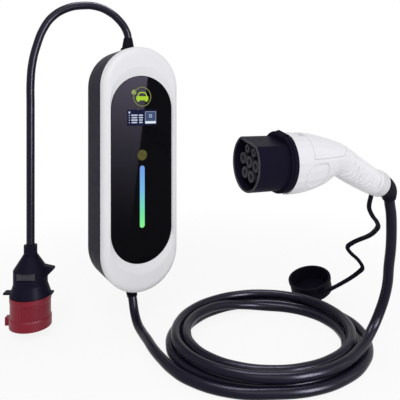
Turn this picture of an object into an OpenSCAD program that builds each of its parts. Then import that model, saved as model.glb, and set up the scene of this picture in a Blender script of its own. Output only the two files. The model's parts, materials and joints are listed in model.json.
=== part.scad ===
// Portable charger for an electric car: a wall-held control box, a mains lead with a five-pole plug,
// and an output lead, coiled on the floor, with a vehicle connector and its tethered dust cap.
// Millimetres, +Z up. The origin is the middle of the box's rear face, and the box faces -Y.

/* [Control box] */
// Width of the box
box_w = 112; // [106:1:124]
// Height of the box
box_h = 338; // [330:1:360]
// Depth of the box, from the rear face to the front rim
box_d = 72; // [68:1:84]
// Depth of the white front shell
shell_d = 14; // [12:0.5:18]
// Wall of both shells
wall = 2.8; // [2:0.1:3.4]
// Rounding of the front shell's outer edge
shell_round = 9; // [4:0.5:11]
// Rounding of the rear housing's outer edge
rear_round = 5; // [3:0.5:8]
// Narrowing of the rear housing towards the rear face, on each side
rear_draft = 2; // [0.5:0.25:3]
// Thickness of the seal between the two shells
seal_t = 1; // [0.6:0.1:1.6]
// Inset of the seal's edge, which shows as a dark line
seal_inset = 0.8; // [0.4:0.1:1.2]
// Clearance between pieces that fit into each other
fit = 0.2; // [0.1:0.05:0.3]

/* [Display] */
// Width of the display panel
panel_w = 91; // [88:0.5:92]
// Height of the display panel
panel_h = 257; // [250:1:262]
// Thickness of the display panel
panel_t = 3; // [2.4:0.1:4]
// Depth of the panel's face below the front rim
panel_recess = 2.5; // [1:0.25:4]
// Width of the ledge that the panel sits on
ledge_w = 7; // [6:0.25:9]
// Thickness of that ledge
ledge_t = 2.5; // [1.6:0.1:3]
// Length of the dished slope past each end of the panel
dish_end = 13; // [6:0.5:18]
// Width of the dished slope along the panel's sides
dish_side = 1.5; // [0.5:0.25:3]
// Width of the screen
lcd_w = 44; // [36:1:52]
// Height of the screen
lcd_h = 21.4; // [18:0.2:26]
// Height of the screen's middle above the panel's middle
lcd_up = 71.3; // [66:0.1:76]
// Radius of the status ring
ring_r = 13.4; // [10:0.2:15]
// Width of the status ring's line
ring_line = 1; // [0.6:0.1:2]
// Height of the ring's middle above the panel's middle
ring_up = 100; // [97:0.5:104]
// Radius of the touch key
key_r = 7.2; // [5:0.2:10]
// Height of the touch key above the panel's middle
key_up = 20; // [16:0.5:30]
// Width of the light bar
bar_w = 7; // [5:0.2:9]
// Length of the light bar
bar_l = 85; // [70:1:90]
// Drop of the light bar's middle below the panel's middle
bar_down = 37; // [36:0.5:42]
// Depth of the inlaid ring, symbol and key
inlay_t = 0.8; // [0.4:0.1:1.4]

/* [Inside the box] */
// Thickness of the circuit boards
board_t = 1.6; // [1:0.1:2]
// Width of the main board
main_w = 84; // [78:1:86]
// Length of the main board
main_l = 200; // [190:1:210]
// Height of the bosses under the main board
main_up = 10; // [8:0.5:12]
// Width of the display board
disp_w = 86; // [84:1:87]
// Length of the display board
disp_l = 218; // [214:1:222]
// Gap between the display board and the panel's ledge
disp_gap = 2.4; // [1.6:0.1:3]
// Radius of the columns that the housing screws go through
column_r = 5; // [4.4:0.1:5.4]
// Distance of the housing screws from the box's side
column_in = 8.5; // [8:0.25:9]
// Distance between the rows of housing screws
column_pitch = 95; // [88:1:100]
// Radius of the housing screws' shanks
screw_r = 1.9; // [1.4:0.1:2.1]
// Depth of the counterbores for the housing screws' heads
counterbore = 40; // [30:1:44]

/* [Wall fixing] */
// Distance between the two screw holes in the rear face
hang_pitch = 250; // [244:1:256]
// Radius of the screw holes
hang_r = 2.2; // [1.6:0.1:3]
// Depth of the screw holes
hang_l = 11; // [8:0.5:12]

/* [Leads] */
// Diameter of the mains lead
mains_d = 11; // [9:0.5:12]
// Diameter of the output lead
output_d = 12.5; // [11:0.5:13]
// Distance of the mains lead's exit from the rear face
mains_in = 21; // [20:0.5:26]
// Distance of the output lead's exit from the rear face
output_in = 30; // [28:0.5:34]
// Forward tilt of the output lead's gland
output_tilt = 20; // [10:1:25]
// Radius of the glands' barrels
gland_r = 9; // [8.4:0.1:10]
// Length of a gland outside the housing
gland_out = 18; // [16:0.5:20]
// Length of a gland inside the housing
gland_in = 12; // [10:0.5:14]

/* [Plug] */
// Radius of the plug's mouth ring
plug_r = 28; // [27:0.2:30]
// Height of the mouth ring
plug_ring_h = 14; // [10:0.5:16]
// Radius of the red shroud above the ring
shroud_r = 26.8; // [26:0.1:27.6]
// Radius of the space round the pins
shroud_bore = 24; // [23:0.1:24.6]
// Depth of the space round the pins
shroud_depth = 30; // [26:0.5:32]
// Height of the red shroud
shroud_h = 41; // [40:0.5:44]
// Radius of the black housing's straight part
plug_body_r = 22.6; // [22:0.1:24]
// Height of the plug with its nut
plug_h = 108.7; // [106:0.1:112]
// Radius of the cable nut
nut_r = 9; // [8:0.1:10]

/* [Connector] */
// Radius of the nose
nose_r = 30; // [29:0.25:31]
// Height of the nose's flat above its middle
nose_flat = 24; // [22:0.25:26]
// Length of the nose
nose_l = 36; // [32:0.5:40]
// Wall of the nose
nose_wall = 2.6; // [2:0.1:3]
// Depth of the nose's hollow
nose_depth = 27; // [24:0.5:30]
// Radius of the shoulder flange
flange_r = 33; // [32:0.25:34]
// Thickness of the shoulder flange
flange_t = 8; // [6:0.5:10]
// Distance between the big sockets
socket_pitch = 14; // [13.4:0.1:14.6]
// Radius of the tube round a big socket
tube_r = 6; // [5.6:0.1:6.4]
// Radius of a big socket's hole
socket_r = 3.1; // [2.6:0.1:3.4]
// Radius of the tube round a small socket
small_tube_r = 4.4; // [4:0.1:4.8]
// Radius of a small socket's hole
small_socket_r = 1.6; // [1.2:0.1:1.9]
// Distance of the sockets' ends behind the nose's rim
socket_back = 8; // [6:0.5:10]
// Length of the connector's end gland
boot_l = 16; // [14:0.5:20]

/* [Dust cap] */
// Wall of the dust cap
cap_wall = 2.2; // [1.6:0.1:3]
// Height of the dust cap
cap_h = 36; // [30:1:40]
// Width of the tether strap
strap_w = 8; // [6:0.5:10]
// Thickness of the tether strap
strap_t = 5; // [4:0.5:6]

/* [Hidden] */
$fn = 64;
// Overlap that lets a cut pass cleanly through a face
over = 1;

// Where the lie of the leads puts the plug, the connector, the coil and the cap
floor_z = -224;
plug_place = [-130, 11, -211.4];
plug_turn = -32;
nose_place = [21, -275, 28];
nose_turn = -10;
nose_roll = 13;
coil_place = [130, -169];
coil_r = 131;
coil_inner_r = 96;
coil_turns = 4;
cap_place = [290, -101];
cap_lean = 24;
cap_lean_to = 190;

// Routes of the free leads, from the box outwards
mains_route = [[0, -21, 186], [-2, -21, 196], [-13, -19, 212], [-36, -16, 225], [-64, -11, 229], [-91, -5, 221],
  [-112, 2, 203], [-124, 6, 179], [-130, 9, 153], [-131, 10, 125], [-131, 11, 95], [-131, 11, 63], [-130, 11, 30],
  [-130, 11, -5], [-130, 11, -40], [-130, 11, -72], [-130, 11, -102]];
lead_in_route = [[0, -36, -185], [0, -39, -193], [-1, -46, -204], [-3, -61, -214], [-5, -80, -217.5],
  [-8, -102, -217.5], [-12, -127, -217.5], [-14, -154, -217.5], [-14, -181, -217.5], [-9, -208, -217.5]];
rise_route = [[104, -275, -195], [130, -283, -195], [157, -289, -191], [180, -293, -182], [198, -296, -166],
  [210, -298, -144], [216, -299, -116], [219, -299, -86], [220, -299, -60], [219, -299, -40], [212, -298, -20],
  [202, -298, -10]];
strap_route = [[184, -293, -18], [186, -289, -32], [198, -287, -44], [213, -285, -54], [226, -277, -65],
  [231, -261, -79], [229, -239, -92], [231, -225, -103], [245, -218, -115], [265, -214, -129], [283, -207, -145],
  [290, -194, -157], [290, -179, -169], [284, -163, -181], [276, -149, -190], [273, -139, -195]];

// Colours
white = "#f0f0f3";
black = "#22212b";
cable = "#28262e";
red = "#a01c2e";
board_green = "#1f5c3a";
brass = "#c8a24a";
steel = "#b8bcc2";

// Depths in the box, measured forwards from its rear face
box_run = box_h - box_w;
panel_run = panel_h - panel_w;
seam = box_d - shell_d;
rear_d = seam - seal_t;
panel_front = box_d - panel_recess;
panel_back = panel_front - panel_t;
ledge_back = panel_back - ledge_t;
disp_front = ledge_back - disp_gap;
main_back = wall + main_up;
main_front = main_back + board_t;
column_x = box_w / 2 - column_in;
column_rows = [-column_pitch, 0, column_pitch];

// Pieces of the box are drawn with x across, y up and z forwards, then stood up
module on_box() {
  rotate([90, 0, 0])
    children();
}

module on_plug() {
  translate(plug_place)
    rotate([0, 0, plug_turn])
      children();
}

// The connector is drawn with x from the nose's rim backwards, and z up
module on_connector() {
  translate(nose_place)
    rotate([nose_roll, 0, nose_turn])
      children();
}

// Turns a 2D drawing of y and z into a plate that is extruded along x
module along_x(l) {
  rotate([90, 0, 90])
    linear_extrude(height = l)
      children();
}

// Carries a half profile, x outwards and y forwards, round a capsule outline
module capsule(run) {
  for (end = [0, 180])
    rotate([0, 0, end])
      translate([0, run / 2, 0])
        rotate_extrude(angle = 180)
          children();
  rotate([90, 0, 0])
    linear_extrude(height = run, center = true) {
      children();
      mirror([1, 0])
        children();
    }
}

module capsule_2d(half_w, run) {
  for (end = [-1, 1])
    translate([0, end * run / 2])
      circle(half_w);
  square([2 * half_w, run], center = true);
}

// Half profile that is rounded at its outer front corner
module rounded_half(w, d, r) {
  square([w - r, d]);
  square([w, d - r]);
  translate([w - r, d - r])
    intersection() {
      circle(r);
      square(r);
    }
}

module at_columns() {
  for (side = [-1, 1], row = column_rows)
    translate([side * column_x, row, 0])
      children();
}

// Half width of the rear housing at a depth, and how far up its end reaches there
function rear_half(depth) = box_w / 2 - rear_draft * (1 - depth / rear_d);
function rear_end(depth) = box_run / 2 + rear_half(depth);

// Axes of the two glands, from the housing's skin outwards
module at_mains_gland() {
  translate([0, rear_end(mains_in), mains_in])
    rotate([-90, 0, 0])
      children();
}

module at_output_gland() {
  translate([0, -rear_end(output_in), output_in])
    rotate([90 - output_tilt, 0, 0])
      children();
}

post_r = 4;
screw_tip = panel_back;

module front_shell() {
  color(white)
    on_box()
      difference() {
        union() {
          difference() {
            capsule(box_run)
              translate([0, seam])
                rounded_half(box_w / 2, shell_d, shell_round);
            capsule(box_run)
              translate([0, seam - over])
                square([box_w / 2 - wall, ledge_back - seam + over]);
          }
          at_columns()
            translate([0, 0, seam])
              cylinder(r = post_r, h = ledge_back - seam + over);
          at_display_posts()
            translate([0, 0, disp_front])
              cylinder(r = disp_post_r, h = disp_gap + over);
        }
        capsule(panel_run)
          translate([0, panel_back])
            square([panel_w / 2 + fit, box_d]);
        capsule(panel_run)
          translate([0, seam - over])
            square([panel_w / 2 - ledge_w, box_d]);
        dish();
        at_columns()
          translate([0, 0, seam - over])
            cylinder(r = screw_r + fit, h = screw_tip - seam + over + fit);
        at_display_posts()
          translate([0, 0, disp_front - over])
            cylinder(r = disp_screw_r + fit, h = disp_screw_l + over);
      }
}

// Slope from the front rim down to the panel, wide at the ends and narrow along the sides
module dish() {
  hull() {
    translate([0, 0, panel_front])
      linear_extrude(height = over)
        capsule_2d(panel_w / 2 + fit, panel_run, $fn = 48);
    translate([0, 0, box_d])
      linear_extrude(height = over)
        capsule_2d(panel_w / 2 + dish_side, panel_run + 2 * (dish_end - dish_side), $fn = 48);
  }
}

disp_post_r = 2.3;
disp_screw_r = 1;
disp_screw_l = 3.6;
disp_post_rows = [-62, 62];

module at_display_posts() {
  for (side = [-1, 1], row = disp_post_rows)
    translate([side * (panel_w / 2 - ledge_w / 2), row, 0])
      children();
}

head_r = 3.4;
head_h = 3;
hang_boss_r = 6;
board_boss_r = 3.6;
board_screw_r = 1.4;
board_screw_in = 5;

module at_board_screws() {
  for (side = [-1, 1], end = [-1, 1])
    translate([side * (main_w / 2 - board_screw_in), end * (main_l / 2 - board_screw_in), 0])
      children();
}

module rear_profile() {
  polygon([[0, 0], [rear_half(0) - rear_round, 0], [rear_half(0) - rear_round, rear_round],
    [rear_half(rear_round), rear_round], [box_w / 2, rear_d], [0, rear_d]]);
  translate([rear_half(rear_round) - rear_round, rear_round])
    circle(rear_round);
}

module rear_hollow_profile() {
  polygon([[0, wall], [rear_half(wall) - wall, wall], [rear_half(rear_d) - wall, rear_d],
    [rear_half(rear_d) - wall, rear_d + over], [0, rear_d + over]]);
}

module rear_housing() {
  color(black)
    on_box()
      difference() {
        union() {
          difference() {
            capsule(box_run)
              rear_profile();
            capsule(box_run)
              rear_hollow_profile();
          }
          at_columns()
            translate([0, 0, wall / 2])
              cylinder(r = column_r, h = rear_d - wall / 2);
          at_board_screws()
            translate([0, 0, wall / 2])
              cylinder(r = board_boss_r, h = main_back - wall / 2);
          for (end = [-1, 1])
            translate([0, end * hang_pitch / 2, wall / 2])
              cylinder(r = hang_boss_r, h = hang_l);
          clamp_posts(mains_in);
          mirror([0, 1, 0])
            clamp_posts(output_in);
        }
        for (end = [-1, 1])
          translate([0, end * hang_pitch / 2, -over])
            cylinder(r = hang_r, h = hang_l + over);
        at_columns() {
          translate([0, 0, -over])
            cylinder(r = head_r + 2 * fit, h = counterbore + over);
          cylinder(r = screw_r + 2 * fit, h = rear_d + over);
        }
        at_board_screws()
          translate([0, 0, main_back - board_screw_l])
            cylinder(r = board_screw_r + fit, h = board_screw_l + over);
        at_mains_gland()
          translate([0, 0, -2 * gland_in])
            cylinder(r = gland_r + fit, h = 2 * gland_in + gland_out);
        at_output_gland()
          translate([0, 0, -2 * gland_in])
            cylinder(r = gland_r + fit, h = 2 * gland_in + gland_out);
      }
}

module housing_seal() {
  color("#3a3942")
    on_box()
      capsule(box_run)
        translate([box_w / 2 - wall, rear_d])
          square([wall - seal_inset, seal_t]);
}

module housing_screws() {
  color(steel)
    on_box()
      at_columns() {
        translate([0, 0, counterbore - head_h])
          cylinder(r = head_r, h = head_h);
        translate([0, 0, counterbore])
          cylinder(r = screw_r, h = screw_tip - counterbore);
      }
}

// Shapes that the display pieces share with their recesses in the panel
module lcd_2d(grow) {
  translate([0, lcd_up])
    square([lcd_w + 2 * grow, lcd_h + 2 * grow], center = true);
}

module bar_2d(grow) {
  translate([0, -bar_down])
    capsule_2d(bar_w / 2 + grow, bar_l - bar_w);
}

module ring_2d(grow) {
  translate([0, ring_up])
    difference() {
      circle(ring_r + grow);
      circle(ring_r - ring_line - grow);
    }
}

module key_2d(grow) {
  translate([0, key_up])
    circle(key_r + grow);
}

// A plain side view of a car: a body, a cabin and two wheel arches
module car_2d(grow) {
  translate([0, ring_up - car_h / 4]) {
    difference() {
      translate([-car_l / 2 - grow, -grow])
        square([car_l + 2 * grow, car_h / 2 + 2 * grow]);
      for (axle = [-1, 1])
        translate([axle * car_l / 4, -grow])
          circle(car_h / 5);
    }
    polygon([[-car_l * 0.36 - grow, car_h / 2], [-car_l * 0.22, car_h + grow], [car_l * 0.16, car_h + grow],
      [car_l * 0.34 + grow, car_h / 2]]);
  }
}

car_l = 15;
car_h = 7;
panel_edge = 0.8;
inlay_back = panel_front - inlay_t;

module display_panel() {
  color("#0b0a10")
    on_box()
      difference() {
        capsule(panel_run)
          translate([0, panel_back])
            rounded_half(panel_w / 2, panel_t, panel_edge);
        translate([0, 0, panel_back - over])
          linear_extrude(height = panel_t + 2 * over) {
            lcd_2d(fit);
            bar_2d(fit);
          }
        translate([0, 0, inlay_back])
          linear_extrude(height = inlay_t + over) {
            ring_2d(fit / 2);
            car_2d(fit / 2);
            key_2d(fit / 2);
          }
      }
}

module lcd_module() {
  color("#1c2440")
    on_box()
      translate([0, 0, disp_front])
        linear_extrude(height = panel_front - disp_front)
          lcd_2d(0);
}

module status_ring() {
  color("#8a9a2a")
    on_box()
      translate([0, 0, inlay_back])
        linear_extrude(height = inlay_t)
          ring_2d(0);
}

module car_symbol() {
  color("#a8d83a")
    on_box()
      translate([0, 0, inlay_back])
        linear_extrude(height = inlay_t)
          car_2d(0);
}

module touch_key() {
  color("#6c6430")
    on_box()
      translate([0, 0, inlay_back])
        linear_extrude(height = inlay_t)
          key_2d(0);
}

module light_bar() {
  color("#86d8ea")
    on_box()
      translate([0, 0, disp_front])
        linear_extrude(height = panel_front - disp_front)
          bar_2d(0);
}

module display_board() {
  color(board_green)
    on_box()
      difference() {
        translate([-disp_w / 2, -disp_l / 2, disp_front - board_t])
          cube([disp_w, disp_l, board_t]);
        at_columns()
          translate([0, 0, disp_front - board_t - over])
            cylinder(r = post_r + fit, h = board_t + 2 * over);
        at_display_posts()
          translate([0, 0, disp_front - board_t - over])
            cylinder(r = disp_screw_r + fit, h = board_t + 2 * over);
      }
}

small_head_h = 1.2;

module display_screws() {
  color(steel)
    on_box()
      at_display_posts() {
        translate([0, 0, disp_front - board_t - small_head_h])
          cylinder(r = 2 * disp_screw_r, h = small_head_h);
        translate([0, 0, disp_front - board_t])
          cylinder(r = disp_screw_r, h = board_t + disp_screw_l - 2 * fit);
      }
}

board_screw_l = 8;

module main_board() {
  color(board_green)
    on_box()
      difference() {
        translate([-main_w / 2, -main_l / 2, main_back])
          cube([main_w, main_l, board_t]);
        at_board_screws()
          translate([0, 0, main_back - over])
            cylinder(r = board_screw_r + fit, h = board_t + 2 * over);
      }
}

module board_screws() {
  color(steel)
    on_box()
      at_board_screws() {
        translate([0, 0, main_front])
          cylinder(r = 2 * board_screw_r, h = board_screw_r);
        translate([0, 0, main_back - board_screw_l + fit])
          cylinder(r = board_screw_r, h = board_screw_l + board_t - fit);
      }
}

relay_size = [15, 28, 24];
relay_pitch = 19;
relay_up = 40;

module relays() {
  color("#2c5aa0")
    on_box()
      for (place = [-1.5, -0.5, 0.5, 1.5])
        translate([place * relay_pitch - relay_size[0] / 2, relay_up - relay_size[1] / 2, main_front])
          cube(relay_size);
}

sensor_r = 17;
sensor_hole_r = 9;
sensor_h = 14;
sensor_down = 45;

module leakage_sensor() {
  color("#d8d2c0")
    on_box()
      translate([0, -sensor_down, main_front])
        difference() {
          cylinder(r = sensor_r, h = sensor_h);
          translate([0, 0, -over])
            cylinder(r = sensor_hole_r, h = sensor_h + 2 * over);
        }
}

transformer_size = [26, 24, 20];
capacitor_r = 6;
capacitor_h = 22;
supply_pitch = 16;

module power_supply() {
  color("#e0c040")
    on_box()
      translate([0, -supply_pitch / 4, main_front]) {
        translate([-main_w / 2 + transformer_size[1] / 4, -transformer_size[1] / 2, 0])
          cube(transformer_size);
        for (place = [0, 1, 2])
          translate([place * supply_pitch, 0, 0])
            cylinder(r = capacitor_r, h = capacitor_h);
      }
}

terminal_size = [60, 14, 15];
terminal_ways = 5;
terminal_hole_r = 3;
terminal_in = 10;

// One row of screw terminals: each way has a screw hole on top and a wire hole in the outer side
module terminals() {
  pitch = terminal_size[0] / terminal_ways;
  translate([0, main_l / 2 - terminal_in - terminal_size[1] / 2, main_front])
    difference() {
      translate([-terminal_size[0] / 2, -terminal_size[1] / 2, 0])
        cube(terminal_size);
      for (way = [0 : terminal_ways - 1])
        translate([(way + 0.5) * pitch - terminal_size[0] / 2, 0, terminal_size[2] / 2]) {
          cylinder(r = terminal_hole_r, h = terminal_size[2]);
          rotate([-90, 0, 0])
            cylinder(r = terminal_hole_r - 1, h = terminal_size[1]);
        }
    }
}

module input_terminals() {
  color("#3c8c50")
    on_box()
      terminals();
}

module output_terminals() {
  color("#3c8c50")
    on_box()
      mirror([0, 1, 0])
        terminals();
}

clamp_in = 24;
clamp_w = 38;
clamp_l = 9;
clamp_t = 4;
clamp_screw_x = 14;
clamp_post_r = 4;
clamp_screw_r = 1.4;
clamp_screw_l = 10;
clamp_up = box_h / 2 - clamp_in;

module at_clamp_screws() {
  for (side = [-1, 1])
    translate([side * clamp_screw_x, clamp_up, 0])
      children();
}

// Posts that carry a cable clamp level with the lead's middle
module clamp_posts(depth) {
  at_clamp_screws()
    difference() {
      translate([0, 0, wall / 2])
        cylinder(r = clamp_post_r, h = depth - wall / 2);
      translate([0, 0, depth - clamp_screw_l])
        cylinder(r = clamp_screw_r + fit, h = clamp_screw_l + over);
    }
}

module clamp(depth, d) {
  difference() {
    translate([-clamp_w / 2, clamp_up - clamp_l / 2, depth])
      cube([clamp_w, clamp_l, d / 2 + clamp_t]);
    translate([0, clamp_up, depth])
      rotate([90, 0, 0])
        cylinder(r = d / 2 + fit, h = clamp_l + 2 * over, center = true);
    at_clamp_screws()
      translate([0, 0, depth - over])
        cylinder(r = clamp_screw_r + fit, h = d + clamp_t + over);
  }
}

module mains_clamp() {
  color("#50505a")
    on_box()
      clamp(mains_in, mains_d);
}

module output_clamp() {
  color("#50505a")
    on_box()
      mirror([0, 1, 0])
        clamp(output_in, output_d);
}

module clamp_screw_pair(depth, d) {
  at_clamp_screws() {
    translate([0, 0, depth + d / 2 + clamp_t])
      cylinder(r = 2 * clamp_screw_r, h = clamp_screw_r);
    translate([0, 0, depth - clamp_screw_l + fit])
      cylinder(r = clamp_screw_r, h = clamp_screw_l - fit + d / 2 + clamp_t);
  }
}

module clamp_screws() {
  color(steel)
    on_box() {
      clamp_screw_pair(mains_in, mains_d);
      mirror([0, 1, 0])
        clamp_screw_pair(output_in, output_d);
    }
}

tail_end = main_l / 2 + 4;

// Sheathed end of a lead inside the box, from its gland through the clamp
module tail(depth, d, inner_end) {
  translate([0, tail_end, depth])
    rotate([-90, 0, 0])
      cylinder(r = d / 2, h = inner_end - tail_end);
}

module mains_tail() {
  color(cable)
    on_box()
      tail(mains_in, mains_d, rear_end(mains_in) - gland_in);
}

module output_tail() {
  color(cable)
    on_box()
      difference() {
        mirror([0, 1, 0])
          tail(output_in, output_d, rear_end(output_in));
        at_output_gland()
          translate([0, 0, -gland_in])
            cylinder(r = 2 * gland_r, h = 2 * gland_in);
      }
}

gland_collar = 1.6;
gland_collar_t = 3;
gland_lip = 0.8;

// Tapered strain relief: a barrel in the wall, a collar outside it and a ribbed cone down to the lead
module gland(d) {
  rotate_extrude()
    polygon([[0, -gland_in], [gland_r, -gland_in], [gland_r, fit], [gland_r + gland_collar, fit],
      [gland_r + gland_collar, gland_collar_t], [gland_r, gland_collar_t], [d / 2 + gland_lip, gland_out],
      [0, gland_out]]);
}

module mains_gland() {
  color(black)
    on_box()
      at_mains_gland()
        gland(mains_d);
}

module output_gland() {
  color(black)
    on_box()
      at_output_gland()
        gland(output_d);
}

// Frames along a route: the direction at a point, and a ring of points across it
function unit(v) = v / norm(v);
function heading(route, i) = unit(route[min(i + 1, len(route) - 1)] - route[max(i - 1, 0)]);
function ring(route, i, across, half_w, half_t, sides) =
  let (ahead = heading(route, i), side = unit(cross(ahead, across)), up = cross(side, ahead))
  [for (k = [0 : sides - 1]) route[i] + half_w * cos(360 * k / sides) * side
    + half_t * sin(360 * k / sides) * up];

// One closed skin over a row of rings, each with as many points
module skin(rings) {
  sides = len(rings[0]);
  last = len(rings) - 1;
  points = [for (one = rings) each one];
  walls = [for (i = [0 : last - 1], k = [0 : sides - 1])
    let (a = i * sides + k, b = i * sides + (k + 1) % sides)
    each [[a, b, b + sides], [a, b + sides, a + sides]]];
  near_end = [for (k = [sides - 1 : -1 : 0]) k];
  far_end = [for (k = [0 : sides - 1]) last * sides + k];
  polyhedron(points, concat(walls, [near_end, far_end]));
}

// One closed tube along a route. across is a direction that the route never follows
module sweep(route, across, half_w, half_t, sides) {
  skin([for (i = [0 : len(route) - 1]) ring(route, i, across, half_w, half_t, sides)]);
}

lead_sides = 10;
strap_sides = 8;

module mains_lead() {
  color(cable)
    sweep(mains_route, [0, 1, 0], mains_d / 2, mains_d / 2, lead_sides);
}

module output_lead_in() {
  color(cable)
    sweep(lead_in_route, [1, 0, 0], output_d / 2, output_d / 2, lead_sides);
}

module output_lead_rise() {
  color(cable)
    sweep(rise_route, [0, 1, 0], output_d / 2, output_d / 2, lead_sides);
}

// Turns lie in two layers, the upper ones in the hollows between the lower ones
coil_pitch = (coil_r - coil_inner_r) / (coil_turns - 1);
coil_rise = coil_pitch * sin(60);

module output_coil() {
  color(cable)
    translate([coil_place[0], coil_place[1], floor_z])
      rotate_extrude() {
        for (turn = [0 : coil_turns - 1])
          translate([coil_inner_r + turn * coil_pitch, output_d / 2])
            circle(output_d / 2);
        for (turn = [0 : coil_turns - 2])
          translate([coil_inner_r + (turn + 0.5) * coil_pitch, output_d / 2 + coil_rise])
            circle(output_d / 2);
        translate([coil_inner_r, output_d / 2])
          square([coil_r - coil_inner_r, coil_rise / 2]);
      }
}

// Heights in the plug, measured upwards from its mouth
lip_h = 7.5;
plug_seal_t = 1;
flare_h = 14.5;
straight_h = 19;
nut_h = 13;
plug_wall = 2.6;
body_z = shroud_h + plug_seal_t;
straight_z = body_z + flare_h;
shoulder_z = straight_z + straight_h;
nut_z = plug_h - nut_h;
lip_r = shroud_r + 0.6;
carrier_neck_r = shroud_bore - 3.5;
carrier_t = 6;
carrier_neck_h = 12;
key_w = 9;
key_h = 11;
key_out = 5.5;
rib_r = 0.9;
rib_pitch = 7.5;
rib_first = -8;
rib_last = 45;

module plug_shroud() {
  color(red)
    on_plug()
      difference() {
        union() {
          rotate_extrude()
            polygon([[0, 0], [plug_r, 0], [plug_r, plug_ring_h - 2], [shroud_r, plug_ring_h],
              [shroud_r, shroud_h - lip_h], [lip_r, shroud_h - lip_h + 1], [lip_r, shroud_h], [0, shroud_h]]);
          translate([-plug_r - key_out, -key_w / 2, 0])
            cube([key_out + plug_r / 4, key_w, key_h]);
          for (turn = [rib_first : rib_pitch : rib_last])
            rotate([0, 0, turn - 90])
              translate([shroud_r, 0, plug_ring_h - 1])
                cylinder(r = rib_r, h = shroud_h - lip_h - plug_ring_h);
        }
        translate([0, 0, -over])
          cylinder(r = shroud_bore, h = shroud_depth + carrier_t + over);
        cylinder(r = carrier_neck_r, h = shroud_h + over);
      }
}

pin_r = 2.5;
earth_r = 3.1;
pin_ring_r = 14.4;
pin_tip = 5;
pin_turns = [0, 72, 144, 216, 288];
earth_turn = 216;

module at_pins() {
  for (turn = pin_turns)
    rotate([0, 0, turn])
      translate([pin_ring_r, 0, 0])
        children();
}

module plug_carrier() {
  color("#8c1828")
    on_plug()
      difference() {
        union() {
          translate([0, 0, shroud_depth])
            cylinder(r = shroud_bore - fit, h = carrier_t);
          translate([0, 0, shroud_depth])
            cylinder(r = carrier_neck_r - fit, h = carrier_t + carrier_neck_h);
        }
        at_pins()
          cylinder(r = earth_r + fit, h = plug_h);
      }
}

// The pins' collars fill the holes in the carrier, and the earth pin is thick all the way
module plug_pins() {
  color(brass)
    on_plug()
      for (turn = pin_turns)
        rotate([0, 0, turn])
          translate([pin_ring_r, 0, 0]) {
            translate([0, 0, pin_tip])
              cylinder(r = turn == earth_turn ? earth_r : pin_r, h = shroud_depth - pin_tip);
            translate([0, 0, shroud_depth])
              cylinder(r = earth_r, h = carrier_t + carrier_neck_h);
          }
}

module plug_seal() {
  color("#3a3942")
    on_plug()
      translate([0, 0, shroud_h])
        difference() {
          cylinder(r = shroud_r - seal_inset, h = plug_seal_t);
          translate([0, 0, -over])
            cylinder(r = carrier_neck_r + fit, h = plug_seal_t + 2 * over);
        }
}

hook_w = 10;
hook_out = 9.6;
tab_w = 12;
tab_t = 2.6;
tab_left = 8;
tab_right = 3;
patch_in = 4;
patch_h = 10;
nut_spigot_r = 6.4;
nut_spigot_h = 6;

module plug_housing() {
  color(black)
    on_plug()
      difference() {
        union() {
          rotate_extrude()
            polygon([[0, body_z], [lip_r, body_z], [plug_body_r, straight_z], [plug_body_r, shoulder_z],
              [nut_r + 0.6, nut_z], [0, nut_z]]);
          translate([0, hook_w / 2, 0])
            rotate([90, 0, 0])
              linear_extrude(height = hook_w)
                polygon([[plug_body_r - 4, straight_z + straight_h / 2], [plug_body_r, straight_z + straight_h / 2],
                  [plug_body_r + hook_out, shoulder_z], [plug_body_r + hook_out, shoulder_z + 3],
                  [plug_body_r - 8, shoulder_z + 7]]);
          translate([-lip_r - tab_left, -tab_w / 2, body_z])
            cube([2 * lip_r + tab_left + tab_right, tab_w, tab_t]);
        }
        rotate_extrude()
          polygon([[0, body_z - over], [carrier_neck_r + fit, body_z - over],
            [carrier_neck_r + fit, shroud_depth + carrier_t + carrier_neck_h + over],
            [plug_body_r - patch_in - plug_wall, straight_z], [plug_body_r - patch_in - plug_wall, shoulder_z],
            [nut_r - plug_wall, nut_z - nut_spigot_h - over], [0, nut_z - nut_spigot_h - over]]);
        translate([-plug_r, -plug_r - plug_body_r + patch_in, shoulder_z - patch_h])
          cube([2 * plug_r, plug_r, patch_h]);
        translate([0, 0, nut_z - nut_spigot_h - 2 * over])
          cylinder(r = nut_spigot_r + fit, h = nut_spigot_h + 3 * over);
      }
}

nut_sides = 12;

module plug_nut() {
  color(black)
    on_plug() {
      translate([0, 0, nut_z])
        cylinder(r = nut_r, h = nut_h, $fn = nut_sides);
      translate([0, 0, nut_z - nut_spigot_h])
        cylinder(r = nut_spigot_r, h = nut_spigot_h);
    }
}

// Outline of the nose, round with a flat on top: x across, y up
module nose_2d(r, flat) {
  intersection() {
    circle(r);
    translate([-r, -r])
      square([2 * r, r + flat]);
  }
}

// Places of the sockets, across and up
socket_row = 1.5;
socket_low = 13.5;
small_row = 14;
big_sockets = [[-socket_pitch, socket_row], [0, socket_row], [socket_pitch, socket_row],
  [-socket_pitch / 2, socket_row - socket_low], [socket_pitch / 2, socket_row - socket_low]];
small_sockets = [[-socket_pitch / 2, small_row], [socket_pitch / 2, small_row]];
gasket_t = 1.2;
gasket_w = 2;
carrier_plate = 4;
flange_x = nose_l - 1;
body_x = flange_x + flange_t;
hump_r = 4.5;
hump_w = 18;
spigot_l = 7;
spigot_r = 23;
lip_gap = 1.2;
lip_ring = 2;

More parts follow.
